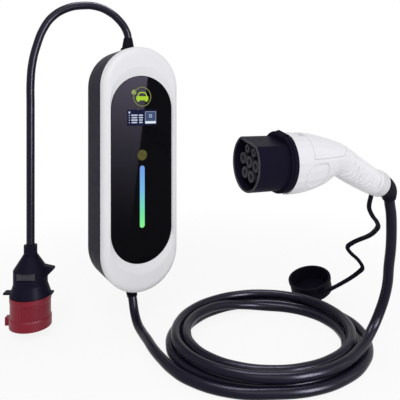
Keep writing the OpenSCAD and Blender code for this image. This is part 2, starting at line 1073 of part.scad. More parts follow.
module connector_nose() {
  color(black)
    on_connector()
      difference() {
        union() {
          along_x(nose_l)
            nose_2d(nose_r, nose_flat);
          translate([flange_x, 0, 0])
            along_x(flange_t)
              nose_2d(flange_r, flange_r - 2);
          translate([flange_x + flange_t / 2, 0, flange_r - hump_r])
            rotate([90, 0, 0])
              cylinder(r = hump_r, h = hump_w, center = true);
          translate([body_x - over, 0, 0])
            rotate([0, 90, 0])
              cylinder(r = spigot_r, h = spigot_l + over);
        }
        translate([-over, 0, 0])
          along_x(nose_depth + over)
            nose_2d(nose_r - nose_wall, nose_flat - nose_wall);
        translate([nose_depth - over, 0, 0])
          along_x(carrier_plate + over)
            nose_2d(nose_r - nose_wall - gasket_w, nose_flat - nose_wall - gasket_w);
        translate([flange_x + lip_ring, 0, 0])
          rotate([0, 90, 0])
            difference() {
              cylinder(r = 2 * flange_r, h = lip_gap);
              translate([0, 0, -over])
                cylinder(r = flange_r - lip_gap, h = lip_gap + 2 * over);
            }
      }
}

module at_sockets(places, x) {
  for (place = places)
    translate([x, place[0], place[1]])
      rotate([0, 90, 0])
        children();
}

module contact_carrier() {
  color("#2e2c38")
    on_connector()
      difference() {
        union() {
          translate([nose_depth, 0, 0])
            along_x(carrier_plate)
              nose_2d(nose_r - nose_wall - gasket_w - fit, nose_flat - nose_wall - gasket_w - fit);
          at_sockets(big_sockets, socket_back)
            cylinder(r = tube_r, h = nose_depth - socket_back + over);
          at_sockets(small_sockets, socket_back)
            cylinder(r = small_tube_r, h = nose_depth - socket_back + over);
        }
        at_sockets(big_sockets, 0)
          cylinder(r = socket_r + contact_wall + fit, h = nose_l);
        at_sockets(small_sockets, 0)
          cylinder(r = small_socket_r + contact_wall + fit, h = nose_l);
      }
}

contact_wall = 1.1;
contact_back = 3;

// Sleeves that end a little behind the mouths of their tubes
module contacts(places, hole_r) {
  on_connector()
    at_sockets(places, socket_back + contact_back)
      difference() {
        cylinder(r = hole_r + contact_wall, h = nose_depth + carrier_plate - socket_back - contact_back);
        translate([0, 0, -over])
          cylinder(r = hole_r, h = nose_depth - socket_back - contact_back);
      }
}

module power_contacts() {
  color(brass)
    contacts(big_sockets, socket_r);
}

module signal_contacts() {
  color(brass)
    contacts(small_sockets, small_socket_r);
}

module nose_gasket() {
  color("#50505a")
    on_connector()
      translate([nose_depth - gasket_t, 0, 0])
        along_x(gasket_t)
          difference() {
            nose_2d(nose_r - nose_wall - fit, nose_flat - nose_wall - fit);
            nose_2d(nose_r - nose_wall - gasket_w, nose_flat - nose_wall - gasket_w);
          }
}

// Sections of the connector's body: the top point and the bottom point, each as [x, z], and the half width
body_sections = [
  [[43, 31], [43, -34], 31.5],
  [[60, 30.6], [58, -33.7], 30.5],
  [[76, 29.5], [76, -30.6], 28.5],
  [[94, 25.3], [90, -25.5], 25],
  [[110, 20.8], [100, -19.5], 20.5],
  [[124, 14.8], [108, -17.4], 17.5],
  [[140, 4.7], [122, -24.6], 16.2],
  [[158, -6], [140, -33.8], 15.8],
  [[176, -17], [160, -43], 15.2]];
body_steps = 2;
body_sides = 24;
body_square = 0.88;
end_top = body_sections[len(body_sections) - 1][0];
end_low = body_sections[len(body_sections) - 1][1];
end_mid = (end_top + end_low) / 2;
end_pitch = atan2(end_top[0] - end_low[0], end_top[1] - end_low[1]);

// A smooth value between b and c, with a and d as the values before and after them
function between(a, b, c, d, t) =
  b + t * ((c - a) / 2 + t * ((a - 2.5 * b + 2 * c - 0.5 * d) + t * (1.5 * (b - c) + (d - a) / 2)));
function section_value(i, part) = body_sections[max(0, min(len(body_sections) - 1, i))][part];
function section_at(i, t, part) = between(section_value(i - 1, part), section_value(i, part),
  section_value(i + 1, part), section_value(i + 2, part), t);

// A rounded section is a little squarer than an ellipse
function squared(v) = sign(v) * pow(abs(v), body_square);
function section_ring(top, low, half_w) = [for (k = [0 : body_sides - 1])
  let (turn = 360 * k / body_sides, up = squared(sin(turn)), mid = (top + low) / 2, arm = (top - low) / 2)
  [mid[0] + arm[0] * up, -half_w * squared(cos(turn)), mid[1] + arm[1] * up]];

module body_form() {
  spans = len(body_sections) - 1;
  places = [for (i = [0 : spans - 1], s = [0 : body_steps - 1]) [i, s / body_steps]];
  skin([for (place = concat(places, [[spans - 1, 1]])) section_ring(section_at(place[0], place[1], 0),
    section_at(place[0], place[1], 1), section_at(place[0], place[1], 2))]);
}

// Side outline of the upper cover, which lifts off the body: x backwards, y up
function cover_points(grow) = [[64 - grow, 11.5 - grow], [109 + grow, 10.5 - grow], [117 + grow, 16.5 - grow],
  [124 + grow, 40], [64 - grow, 40]];
cover_gap = 0.4;
cover_half_w = 40;
lock_l = 20;
lock_w = 12;
lock_depth = 4;

module cover_block(grow) {
  rotate([90, 0, 0])
    linear_extrude(height = 2 * cover_half_w, center = true)
      polygon(cover_points(grow));
}

module at_body_end() {
  translate([end_mid[0], 0, end_mid[1]])
    rotate([0, 90 + end_pitch, 0])
      children();
}

boot_spigot_l = 10;
boot_spigot_r = 8;

module connector_body() {
  color(white)
    on_connector()
      difference() {
        body_form();
        cover_block(cover_gap);
        translate([body_x - over, 0, 0])
          rotate([0, 90, 0])
            cylinder(r = spigot_r + fit, h = spigot_l + over + fit);
        translate([body_x + 3, -lock_w / 2, flange_r - 2 - lock_depth])
          cube([lock_l, lock_w, flange_r]);
        at_body_end()
          translate([0, 0, -boot_spigot_l - fit])
            cylinder(r = boot_spigot_r + fit, h = boot_spigot_l + 2 * over);
      }
}

module connector_cover() {
  color(white)
    on_connector()
      intersection() {
        body_form();
        cover_block(0);
      }
}

boot_collar_r = 14.6;
boot_collar_t = 3;
groove_r = 13;
groove_w = 4.4;

// Black end piece: a spigot in the grip, a collar, the groove of the tether ring and a short soft boot
module connector_gland() {
  color(black)
    on_connector()
      at_body_end()
        rotate_extrude()
          polygon([[0, -boot_spigot_l], [boot_spigot_r, -boot_spigot_l], [boot_spigot_r, 0], [boot_collar_r, 0],
            [boot_collar_r, boot_collar_t], [groove_r, boot_collar_t], [groove_r, boot_collar_t + groove_w],
            [boot_collar_r - 1, boot_collar_t + groove_w], [output_d / 2 + gland_lip, boot_l], [0, boot_l]]);
}

tether_t = 3;

module tether_ring() {
  color("#34333c")
    on_connector()
      at_body_end()
        translate([0, 0, boot_collar_t + fit])
          difference() {
            cylinder(r = groove_r + tether_t, h = groove_w - 2 * fit);
            translate([0, 0, -over])
              cylinder(r = groove_r + fit, h = groove_w + 2 * over);
          }
}

module tether_strap() {
  color("#34333c")
    sweep(strap_route, [0.53, 0.85, 0], strap_w / 2, strap_t / 2, strap_sides);
}

cap_clear = 0.5;
cap_r = nose_r + cap_clear + cap_wall;
cap_bead = 1.2;
cap_bead_h = 4;
cap_edge = 4;
cap_lug_w = 10;
cap_lug_out = 5;
cap_lug_h = 7;
cap_lug_turn = 68;

module dust_cap() {
  color("#2c2b34")
    translate([cap_place[0], cap_place[1], floor_z + (cap_r - cap_edge) * sin(cap_lean)])
      rotate([0, 0, cap_lean_to])
        rotate([0, cap_lean, 0])
          difference() {
            union() {
              rotate_extrude()
                polygon([[0, 0], [cap_r - cap_edge, 0], [cap_r, cap_edge], [cap_r, cap_h - cap_bead_h],
                  [cap_r + cap_bead, cap_h - cap_bead_h], [cap_r + cap_bead, cap_h], [0, cap_h]]);
              rotate([0, 0, cap_lug_turn])
                translate([cap_r - cap_wall / 2, -cap_lug_w / 2, cap_h - cap_bead_h - 1.5 * cap_lug_h])
                  cube([cap_lug_out, cap_lug_w, cap_lug_h]);
            }
            translate([0, 0, cap_wall])
              cylinder(r = cap_r - cap_wall, h = cap_h);
          }
}

front_shell();
rear_housing();
housing_seal();
housing_screws();
display_panel();
lcd_module();
status_ring();
car_symbol();
touch_key();
light_bar();
display_board();
display_screws();
main_board();
board_screws();
relays();
leakage_sensor();
power_supply();
input_terminals();
output_terminals();
mains_clamp();
output_clamp();
clamp_screws();
mains_tail();
output_tail();
mains_gland();
output_gland();
mains_lead();
plug_nut();
plug_housing();
plug_seal();
plug_shroud();
plug_carrier();
plug_pins();
output_lead_in();
output_coil();
output_lead_rise();
connector_nose();
contact_carrier();
power_contacts();
signal_contacts();
nose_gasket();
connector_body();
connector_cover();
connector_gland();
tether_ring();
tether_strap();
dust_cap();
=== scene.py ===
# %% [markdown]
# # A portable charger for electric cars
#
# The charger is a tall black-and-white control box with a glossy display. A short lead runs from its top
# to a round red mains plug. A long lead leaves its foot, lies in a loose coil on the floor and rises to
# the pistol-shaped connector that goes into the car. The solid parts come from the packed model, which is
# loaded first as a fixed frame. This lesson adds the camera, small mouldings, the free cords, a finish
# for every surface, and the light.

# %% Load the packed model
import json
import math

import bmesh
import bpy
from mathutils import Matrix, Vector
from mathutils.bvhtree import BVHTree


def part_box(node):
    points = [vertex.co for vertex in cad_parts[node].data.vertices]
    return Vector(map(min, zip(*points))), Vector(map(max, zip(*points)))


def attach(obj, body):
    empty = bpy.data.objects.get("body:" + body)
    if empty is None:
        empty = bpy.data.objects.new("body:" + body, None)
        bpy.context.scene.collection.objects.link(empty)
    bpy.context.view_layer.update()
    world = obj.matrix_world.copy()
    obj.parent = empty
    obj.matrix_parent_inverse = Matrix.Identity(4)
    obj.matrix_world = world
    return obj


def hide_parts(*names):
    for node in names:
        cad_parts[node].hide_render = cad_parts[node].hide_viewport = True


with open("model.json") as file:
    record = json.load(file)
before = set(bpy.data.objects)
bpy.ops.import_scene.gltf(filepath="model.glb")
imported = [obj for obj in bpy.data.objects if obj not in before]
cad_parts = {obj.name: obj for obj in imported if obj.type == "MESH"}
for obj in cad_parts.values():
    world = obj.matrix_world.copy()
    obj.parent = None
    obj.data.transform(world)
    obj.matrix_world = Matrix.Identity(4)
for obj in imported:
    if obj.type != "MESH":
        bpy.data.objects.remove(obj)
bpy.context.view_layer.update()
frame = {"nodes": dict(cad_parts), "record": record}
nodes = frame["nodes"]
scene = bpy.context.scene

# %% [markdown]
# ## The camera
#
# The picture was taken from the left of the box and level with its display, with the lens shifted down so
# that the upright edges stay upright. A level camera with a vertical shift does the same. Tilting the
# camera would have been the other way, but then the sides of the box would lean together.

# %% Camera
CAMERA_PLACE = (-0.2839, -0.6729, 0.0886)
CAMERA_LEVEL = math.radians(90)
CAMERA_HEADING = math.radians(-32)
CAMERA_LENS = 43.5
CAMERA_SENSOR = 36
CAMERA_SHIFT = -0.2375

camera_data = bpy.data.cameras.new("camera")
camera_data.lens = CAMERA_LENS
camera_data.sensor_width = CAMERA_SENSOR
camera_data.shift_y = CAMERA_SHIFT
camera = bpy.data.objects.new("camera", camera_data)
camera.location = CAMERA_PLACE
camera.rotation_euler = (CAMERA_LEVEL, 0, CAMERA_HEADING)
scene.collection.objects.link(camera)
scene.camera = camera
print("camera at", CAMERA_PLACE)

# %% [markdown]
# ## Small mouldings
#
# Three things lie on the surfaces and are too slight for the solid model: the curved ribs on the
# connector's grip, the rim of the pad on its side, and the plain plate on the plug. Ribs and rims have to
# follow a skin that bends two ways. Their lines are drawn flat, as seen from the side, and each point is
# then sent straight at the connector until it meets the skin. A thin round section is extruded through
# the places where the points landed.

# %% A section along a line
MILLIMETRE = 0.001


def metres(points):
    """Points given in millimetres, as vectors in metres."""
    return [Vector(point) * MILLIMETRE for point in points]


def smooth_line(points, steps):
    """More points on a smooth line through these."""
    line = []
    last = len(points) - 1
    for i in range(last):
        before, start, end, after = (points[max(0, min(last, i + k))] for k in (-1, 0, 1, 2))
        for k in range(steps):
            t = k / steps
            line.append(0.5 * (2 * start + (end - before) * t
                               + (2 * before - 5 * start + 4 * end - after) * t ** 2
                               + (3 * start - before - 3 * end + after) * t ** 3))
    return line + [points[last]]


def section_frames(line, across, sizes):
    """A matrix for each point that puts a unit circle there, with its half width and half thickness."""
    frames = []
    for i, (place, (half_wide, half_thick)) in enumerate(zip(line, sizes)):
        along = (line[min(i + 1, len(line) - 1)] - line[max(i - 1, 0)]).normalized()
        thick = along.cross(across).normalized()
        wide = thick.cross(along).normalized()
        turn = Matrix((wide * half_wide, thick * half_thick, along)).transposed().to_4x4()
        frames.append(Matrix.Translation(place) @ turn)
    return frames


def finished(name, shape, smooth=True):
    """An object at the origin from a bmesh, with its normals outwards."""
    bmesh.ops.recalc_face_normals(shape, faces=shape.faces)
    for face in shape.faces:
        face.smooth = smooth
    mesh = bpy.data.meshes.new(name)
    shape.to_mesh(mesh)
    shape.free()
    made = bpy.data.objects.new(name, mesh)
    scene.collection.objects.link(made)
    return made


def extrude_along(shape, frames, sides):
    """Adds a unit circle to the shape, extruded from frame to frame."""
    circle = bmesh.ops.create_circle(shape, cap_ends=True, segments=sides, radius=1, matrix=frames[0])
    end_face = circle["verts"][0].link_faces[0]
    for start, end in zip(frames, frames[1:]):
        made = bmesh.ops.extrude_face_region(shape, geom=[end_face])["geom"]
        moved = [part for part in made if isinstance(part, bmesh.types.BMVert)]
        bmesh.ops.transform(shape, matrix=end @ start.inverted(), verts=moved)
        end_face = next(part for part in made if isinstance(part, bmesh.types.BMFace))


print("a line through 2 points becomes", len(smooth_line(metres([(0, 0, 0), (0, 0, 1)]), 4)), "points")

# %% Where a line meets the connector's skin
CONNECTOR_PLACE = (0.021, -0.275, 0.028)
CONNECTOR_TURN = math.radians(-10)
CONNECTOR_ROLL = math.radians(13)
CAST_FROM = 0.06

connector_frame = (
    Matrix.Translation(CONNECTOR_PLACE) @ Matrix.Rotation(CONNECTOR_TURN, 4, "Z")
    @ Matrix.Rotation(CONNECTOR_ROLL, 4, "X")
)
sideways = (connector_frame.to_3x3() @ Vector((0, 1, 0))).normalized()
body_mesh = nodes["connector_body"].data
skin = BVHTree.FromPolygons(
    [nodes["connector_body"].matrix_world @ vertex.co for vertex in body_mesh.vertices],
    [polygon.vertices for polygon in body_mesh.polygons],
)


def on_skin(flat_point, side):
    """The place where a point, sent in from one side, meets the connector."""
    start = connector_frame @ (flat_point + Vector((0, side * CAST_FROM, 0)))
    return skin.ray_cast(start, sideways * -side)[0]


print("skin of", len(body_mesh.polygons), "faces")

# %% Ribs and rims
RIB_RADIUS = 0.0008
RIM_RADIUS = 0.0007
RIB_SIDES = 8
RIB_STEPS = 5
RIB_LINES = [
    [(111, -14.5), (119.5, -12.5), (124, -8), (126.5, 0), (129, 6.5)],
    [(117.5, -19), (127, -16), (131.5, -10), (133.5, -2.5)],
    [(124, -22.5), (134, -18.5), (138.5, -11), (139.5, -4.5)],
    [(132, -24.5), (140.5, -18.5), (143.5, -8)],
    [(140, -27), (147.5, -20), (149.5, -11)],
    [(147.5, -30), (154, -23.5), (155, -15)],
]
RIM_LINE = [
    (56, -14), (55.5, -6.5), (57, 1), (62, 5.5), (71, 6.5), (80.5, 6), (84.5, 0), (81.5, -9), (73, -17),
    (63, -18.5), (56, -14),
]


def add_rib(shape, flat_line, side, radius):
    """One rounded rib on the skin along a flat line."""
    corners = metres([(x, 0, z) for x, z in flat_line])
    places = [on_skin(point, side) for point in smooth_line(corners, RIB_STEPS)]
    frames = section_frames(places, sideways, [(radius, radius)] * len(places))
    extrude_along(shape, frames, RIB_SIDES)


rib_shape = bmesh.new()
for side in (-1, 1):
    for rib_line in RIB_LINES:
        add_rib(rib_shape, rib_line, side, RIB_RADIUS)
    add_rib(rib_shape, RIM_LINE, side, RIM_RADIUS)
grip_ribs = finished("grip_ribs", rib_shape)
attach(grip_ribs, "root")
print("ribs and rims with", len(grip_ribs.data.polygons), "faces")

# %% The plate on the plug
PLUG_PLACE = (-0.130, 0.011, -0.2114)
PLUG_TURN = math.radians(-32)
PLATE_MIDDLE = (0, -0.0186, 0.0705)
PLATE_SIZE = (0.0245, 0.0009, 0.0094)
PLATE_ROUND = 0.0004
EDGE_STEPS = 2


def round_edges(shape, offset):
    """Rounds every edge that the shape has so far."""
    bmesh.ops.bevel(
        shape, geom=shape.edges[:], offset=offset, affect="EDGES", segments=EDGE_STEPS, profile=0.5,
        material=-1,
    )


plate_shape = bmesh.new()
bmesh.ops.create_cube(plate_shape, size=1)
bmesh.ops.scale(plate_shape, verts=plate_shape.verts, vec=PLATE_SIZE)
round_edges(plate_shape, PLATE_ROUND)
plug_frame = Matrix.Translation(PLUG_PLACE) @ Matrix.Rotation(PLUG_TURN, 4, "Z")
plate_place = plug_frame @ Matrix.Translation(PLATE_MIDDLE)
bmesh.ops.transform(plate_shape, matrix=plate_place, verts=plate_shape.verts)
plug_plate = finished("plug_plate", plate_shape, smooth=False)
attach(plug_plate, "root")
print("plate with", len(plug_plate.data.polygons), "faces")

# %% [markdown]
# ## The connector's end and its sockets
#
# The grip's white moulding ends in a rounded rim, and a soft black elbow comes out of it and bends down
# into the cable. Both are round sections that change size along a line, so the extruder gets a size for
# each place. The sockets are plain tubes: the outline of a tube's wall is drawn once and spun round the
# tube's middle. The nose's front edge is rounded, so a thin lip follows the D of its outline, and the
# lip's lighter grey is a painted highlight along that edge.

# %% The grip's rim and the elbow
GRIP_END = [
    (160, -25, 14.4), (168, -29, 15.6), (175, -31.8, 15.9), (181, -34.2, 15.6), (183.5, -35.2, 14.4),
]
ELBOW = [
    (178, -33, 14), (186, -36.5, 13.6), (192, -40, 12.4), (196.5, -44.5, 10.7), (199, -49.5, 9),
    (200.5, -54, 7.8),
]
ROUND_SIDES = 32
ROUND_STEPS = 4


def tapering(name, stations):
    """A round body through stations of x, z and radius in the connector's upright plane."""
    places = [connector_frame @ point for point in metres([(x, 0, z) for x, z, radius in stations])]
    radii = smooth_line([radius * MILLIMETRE for x, z, radius in stations], ROUND_STEPS)
    sizes = [(radius, radius) for radius in radii]
    frames = section_frames(smooth_line(places, ROUND_STEPS), sideways, sizes)
    shape = bmesh.new()
    extrude_along(shape, frames, ROUND_SIDES)
    return finished(name, shape)


grip_end = tapering("grip_end", GRIP_END)
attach(grip_end, "root")
elbow = tapering("end_elbow", ELBOW)
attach(elbow, "root")
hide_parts("connector_gland", "tether_ring")
print("rim with", len(grip_end.data.polygons), "faces, elbow with", len(elbow.data.polygons))

# %% The sockets
BIG_SOCKETS = [(-14, 1.5), (0, 1.5), (14, 1.5), (-7, -12), (7, -12)]
SMALL_SOCKETS = [(-7, 14), (7, 14)]
BIG_TUBE = (6.1, 3.3)
SMALL_TUBE = (4.5, 1.9)
TUBE_FRONT = 3.0
TUBE_BACK = 11.0
TUBE_STEPS = 32


def spin_round(shape, corners, centre, axis, steps):
    """Spins the closed outline through the corners once round an axis."""
    outline = [shape.verts.new(corner) for corner in corners]
    edges = [shape.edges.new((outline[i - 1], outline[i])) for i in range(len(outline))]
    bmesh.ops.spin(
        shape, geom=outline + edges, cent=centre, axis=axis, angle=math.tau, steps=steps, use_merge=True,
    )


backwards = (connector_frame.to_3x3() @ Vector((1, 0, 0))).normalized()
tube_shape = bmesh.new()
for sockets, (outer, bore) in ((BIG_SOCKETS, BIG_TUBE), (SMALL_SOCKETS, SMALL_TUBE)):
    wall = [(TUBE_FRONT, bore), (TUBE_FRONT, outer), (TUBE_BACK, outer), (TUBE_BACK, bore)]
    for y, z in sockets:
        corners = [connector_frame @ point for point in metres([(x, y + radius, z) for x, radius in wall])]
        centre = connector_frame @ metres([(0, y, z)])[0]
        spin_round(tube_shape, corners, centre, backwards, TUBE_STEPS)
socket_tubes = finished("socket_tubes", tube_shape, smooth=False)
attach(socket_tubes, "root")
print("sockets with", len(socket_tubes.data.polygons), "faces")

# %% The lip of the nose
# The lip rounds the nose's edge, and its lighter grey finish is a painted highlight along that rim.
LIP_HALF = 0.0013
LIP_ROUND = 28.7
LIP_FLAT = 22.7
LIP_STEPS = 40

corner_turn = math.asin(LIP_FLAT / LIP_ROUND)
arc_turn = math.pi + 2 * corner_turn
lip_turns = [corner_turn - arc_turn * i / LIP_STEPS for i in range(LIP_STEPS + 1)]
lip_arc = [(0, LIP_ROUND * math.cos(turn), LIP_ROUND * math.sin(turn)) for turn in lip_turns]
flat_middle = (0, 0, LIP_FLAT)
lip_line = [connector_frame @ point for point in metres([flat_middle, *lip_arc, flat_middle])]
lip_frames = section_frames(lip_line, backwards, [(LIP_HALF, LIP_HALF)] * len(lip_line))
lip_shape = bmesh.new()
extrude_along(lip_shape, lip_frames, RIB_SIDES)
nose_lip = finished("nose_lip", lip_shape)
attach(nose_lip, "root")
print("lip with", len(nose_lip.data.polygons), "faces")

# %% [markdown]
# ## The dust cap
#
# The cap is a shallow rubber cup with a thicker rim and a lug for its strap. A cup is the same all the
# way round, so its outline is spun too. It lies tipped on the floor behind the coil, on the edge of its
# foot.

# %% The cap
FLOOR_Z = -0.224
CAP_PLACE = (0.290, -0.100)
CAP_LEAN = math.radians(18)
CAP_LEAN_TO = math.radians(190)
CAP_FOOT = 28.7
CAP_OUTLINE = [
    (0, 0), (CAP_FOOT, 0), (32.7, 4), (32.7, 21), (33.9, 21), (33.9, 25), (30.5, 25), (30.5, 2.2), (0, 2.2),
]
CAP_STEPS = 48
LUG_SIZE = (0.006, 0.010, 0.006)
LUG_MIDDLE = (0.034, 0, 0.0175)
LUG_TURN = math.radians(68)
WELD = 0.00001

cap_shape = bmesh.new()
lug = bmesh.ops.create_cube(cap_shape, size=1)["verts"]
bmesh.ops.scale(cap_shape, verts=lug, vec=LUG_SIZE)
lug_place = Matrix.Rotation(LUG_TURN, 4, "Z") @ Matrix.Translation(LUG_MIDDLE)
bmesh.ops.transform(cap_shape, verts=lug, matrix=lug_place)
spin_round(cap_shape, metres([(x, 0, z) for x, z in CAP_OUTLINE]), (0, 0, 0), (0, 0, 1), CAP_STEPS)
bmesh.ops.remove_doubles(cap_shape, verts=cap_shape.verts, dist=WELD)
cap_height = FLOOR_Z + CAP_FOOT * MILLIMETRE * math.sin(CAP_LEAN)
cap_place = (
    Matrix.Translation((*CAP_PLACE, cap_height)) @ Matrix.Rotation(CAP_LEAN_TO, 4, "Z")
    @ Matrix.Rotation(CAP_LEAN, 4, "Y")
)
bmesh.ops.transform(cap_shape, verts=cap_shape.verts, matrix=cap_place)
cap = finished("cap", cap_shape, smooth=False)
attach(cap, "root")
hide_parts("dust_cap")
print("cap with", len(cap.data.polygons), "faces")

# %% [markdown]
# ## The car sign
#
# A small car, seen from the front, glows inside the ring on the display. It is a flat sign, so it is a
# bevelled block for the body, two for the tyres, and a thin arch for the roof.

# %% The sign
SIGN_THICKNESS = 0.0004
SIGN_BLOCKS = [(0, -2.2, 18, 5.6), (-6, -5.6, 3, 2.6), (6, -5.6, 3, 2.6)]
ROOF_LINE = [(-6.8, 0), (-5.6, 3.2), (-3.8, 5.2), (0, 5.8), (3.8, 5.2), (5.6, 3.2), (6.8, 0)]
ROOF_HALF = 0.0008
SIGN_ROUND = 0.00019

ring_low, ring_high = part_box("status_ring")
ring_middle = (ring_low + ring_high) / 2
sign_centre = Vector((ring_middle.x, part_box("car_symbol")[0].y, ring_middle.z))
sign_shape = bmesh.new()
for x, z, width, height in SIGN_BLOCKS:
    block = bmesh.ops.create_cube(sign_shape, size=1)["verts"]
    block_size = (width * MILLIMETRE, SIGN_THICKNESS, height * MILLIMETRE)
    bmesh.ops.scale(sign_shape, verts=block, vec=block_size)
    bmesh.ops.translate(sign_shape, verts=block, vec=sign_centre + Vector((x, 0, z)) * MILLIMETRE)
round_edges(sign_shape, SIGN_ROUND)
roof_line = smooth_line(metres([(x, 0, z) for x, z in ROOF_LINE]), RIB_STEPS)
roof = [sign_centre + point for point in roof_line]
roof_sizes = [(SIGN_THICKNESS / 2, ROOF_HALF)] * len(roof)
extrude_along(sign_shape, section_frames(roof, Vector((0, 1, 0)), roof_sizes), RIB_SIDES)
car_sign = finished("car_sign", sign_shape, smooth=False)
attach(car_sign, "root")
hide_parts("car_symbol")
print("sign with", len(car_sign.data.polygons), "faces")

# %% [markdown]
# ## The leads
#
# A cable is one round section drawn along one smooth line, so each lead is a curve with a bevel. The
# stretches that lie in plain sight follow listed points. The turns of the coil follow a rule, so
# a loop works them out: the lead goes round about two and a half times on the floor and steps inwards
# twice, climbs at the back, goes round about one and a half times more on top of itself, and drifts
# outwards before it rises to the connector. Two short lists say where its radius and its height change. A
# coil that is thrown down is never quite round, so the whole of it is a little oval.

# %% A lead as a curve
LEAD_ROUNDNESS = 6
LEAD_STEPS = 8


def lead(name, points, diameter):
    """One open curve of round section through the points."""
    data = bpy.data.curves.new(name, "CURVE")
    data.dimensions = "3D"
    data.bevel_depth = 1.0
    data.bevel_resolution = LEAD_ROUNDNESS
    data.resolution_u = LEAD_STEPS
    data.use_fill_caps = True
    spline = data.splines.new("BEZIER")
    spline.bezier_points.add(len(points) - 1)
    for bezier_point, place in zip(spline.bezier_points, points):
        bezier_point.co = place
        bezier_point.radius = diameter / 2
        bezier_point.handle_left_type = "AUTO"
        bezier_point.handle_right_type = "AUTO"
    made = bpy.data.objects.new(name, data)
    scene.collection.objects.link(made)
    return made


print("a lead has", LEAD_STEPS, "steps from point to point")

# %% The mains lead
MAINS_DIAMETER = 0.011
MAINS_ROUTE = [
    (0, -21, 180), (0, -21, 187), (-3, -20.5, 197), (-11.5, -18, 210), (-26, -14.5, 222), (-45, -10, 229),
    (-63, -5.5, 229), (-83, -1, 224), (-102, 4, 211), (-114, 7, 193), (-122, 9, 171), (-128, 10, 145),
    (-130, 11, 118), (-130, 11, 90), (-130, 11, 60), (-130, 11, 30), (-130, 11, -5), (-130, 11, -40),
    (-130, 11, -72), (-130, 11, -102),
]
PLUG_NODES = ["plug_nut", "plug_housing", "plug_seal", "plug_shroud", "plug_carrier", "plug_pins"]

plug = [nodes[name] for name in PLUG_NODES]
mains_points = metres(MAINS_ROUTE)
mains_cord = lead("mains_cord", mains_points, MAINS_DIAMETER)
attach(mains_cord, "root")
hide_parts("mains_lead")
print("mains lead through", len(mains_points), "points")

# %% The coil of the output lead
OUTPUT_DIAMETER = 0.0125
COIL_CENTRE = Vector((0.130, -0.180, FLOOR_Z + OUTPUT_DIAMETER / 2))
COIL_OVAL = 0.92
COIL_FIRST = 215
COIL_LAST = 1715
COIL_POINT_EVERY = 20
RADIUS_STOPS = [
    (COIL_FIRST, 0.137), (235, 0.131), (523, 0.131), (595, 0.1170), (883, 0.1170), (955, 0.1030),
    (1165, 0.1030), (1230, 0.1100), (1400, 0.1100), (1520, 0.1240),
]
CLIMB_STOPS = [(1130, 0.0), (1190, OUTPUT_DIAMETER)]


def ease(share):
    """Goes smoothly from 0 to 1 as share does."""
    share = min(1, max(0, share))
    return share * share * (3 - 2 * share)


def eased_along(stops, angle):
    """The value at an angle, which goes smoothly from stop to stop."""
    value = stops[0][1]
    for (start, first), (end, second) in zip(stops, stops[1:]):
        value += (second - first) * ease((angle - start) / (end - start))
    return value


def coil_point(angle):
    """The lead's middle at an angle along the coil, in degrees from the +X side."""
    radius = eased_along(RADIUS_STOPS, angle)
    turned = math.radians(angle)
    climb = eased_along(CLIMB_STOPS, angle)
    return COIL_CENTRE + Vector((radius * math.cos(turned), COIL_OVAL * radius * math.sin(turned), climb))


coil_points = [coil_point(angle) for angle in range(COIL_FIRST, COIL_LAST + 1, COIL_POINT_EVERY)]
print("coil through", len(coil_points), "points, ends at", list(coil_points[-1]))

# %% The output lead
LEAD_IN_ROUTE = [
    (0, -36, -185), (0, -39, -193), (-1, -46, -204), (-3, -61, -214), (-5, -80, -217.5), (-8, -102, -217.5),
    (-12, -127, -217.5), (-14, -154, -217.5), (-14, -181, -217.5), (-9, -208, -217.5),
]
RISE_ROUTE = [
    (192, -280, -205), (208, -274.5, -202.5), (222, -270.5, -196.5), (232.5, -269.5, -186.5),
    (239, -271, -173.5), (241.5, -275, -157.5), (240.5, -280.5, -137), (236, -286, -112), (233, -291, -88),
    (229.5, -294.5, -64), (225.5, -296.8, -43), (222, -297.4, -30), (218.8, -298.9, -18.5),
]

output_points = metres(LEAD_IN_ROUTE) + coil_points + metres(RISE_ROUTE)
output_cord = lead("output_cord", output_points, OUTPUT_DIAMETER)
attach(output_cord, "root")
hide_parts("output_lead_in", "output_coil", "output_lead_rise")
print("output lead through", len(output_points), "points")

# %% [markdown]
# ## The strap of the dust cap
#
# A flat rubber strap ties the cap to the connector. A curve's bevel is round, so the strap is made
# another way: one flattened ring is extruded from point to point along the route, and each new ring is
# turned to face the way that the strap runs there.

# %% A flat strap along a route
STRAP_WIDTH = 0.008
STRAP_THICKNESS = 0.005
STRAP_ACROSS = Vector((0.53, 0.85, 0))
STRAP_SIDES = 16
STRAP_STEPS = 4
STRAP_ROUTE = [
    (193, -294, -18), (193.5, -290, -33), (202, -288, -45), (214, -285, -54.5), (226, -277, -65),
    (231, -261, -79), (229, -239, -92), (231, -225, -103), (245, -218, -115), (265, -214, -129),
    (283, -207, -145), (290, -194, -157), (291, -179, -170), (288, -163, -183), (281.5, -148, -195),
    (277.5, -137, -202.5),
]

strap_line = smooth_line(metres(STRAP_ROUTE), STRAP_STEPS)
strap_sizes = [(STRAP_WIDTH / 2, STRAP_THICKNESS / 2)] * len(strap_line)
strap_frames = section_frames(strap_line, STRAP_ACROSS, strap_sizes)
strap_shape = bmesh.new()
extrude_along(strap_shape, strap_frames, STRAP_SIDES)
strap = finished("cap_strap", strap_shape)
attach(strap, "root")
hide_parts("tether_strap")
print("strap with", len(strap.data.polygons), "faces")

# %% [markdown]
# ## Sums in a material
#
# A material's pattern is a sum over the surface: a place, some noise, a mask, a colour. Wiring that by
# hand takes a line for every node and every link. A small class that wraps one socket lets Python's own
# signs add the Math nodes, and one method makes any other node from a type, its settings and its inputs.
# A second class holds one material and the patterns that the finishes share.

# %% A socket that can be used in sums
def set_stops(ramp, stops):
    """Puts the places and colours of a colour ramp."""
    while len(ramp.elements) < len(stops):
        ramp.elements.new(1)
    for element, (place, colour) in zip(ramp.elements, stops):
        element.position = place
        element.color = (*colour, 1)


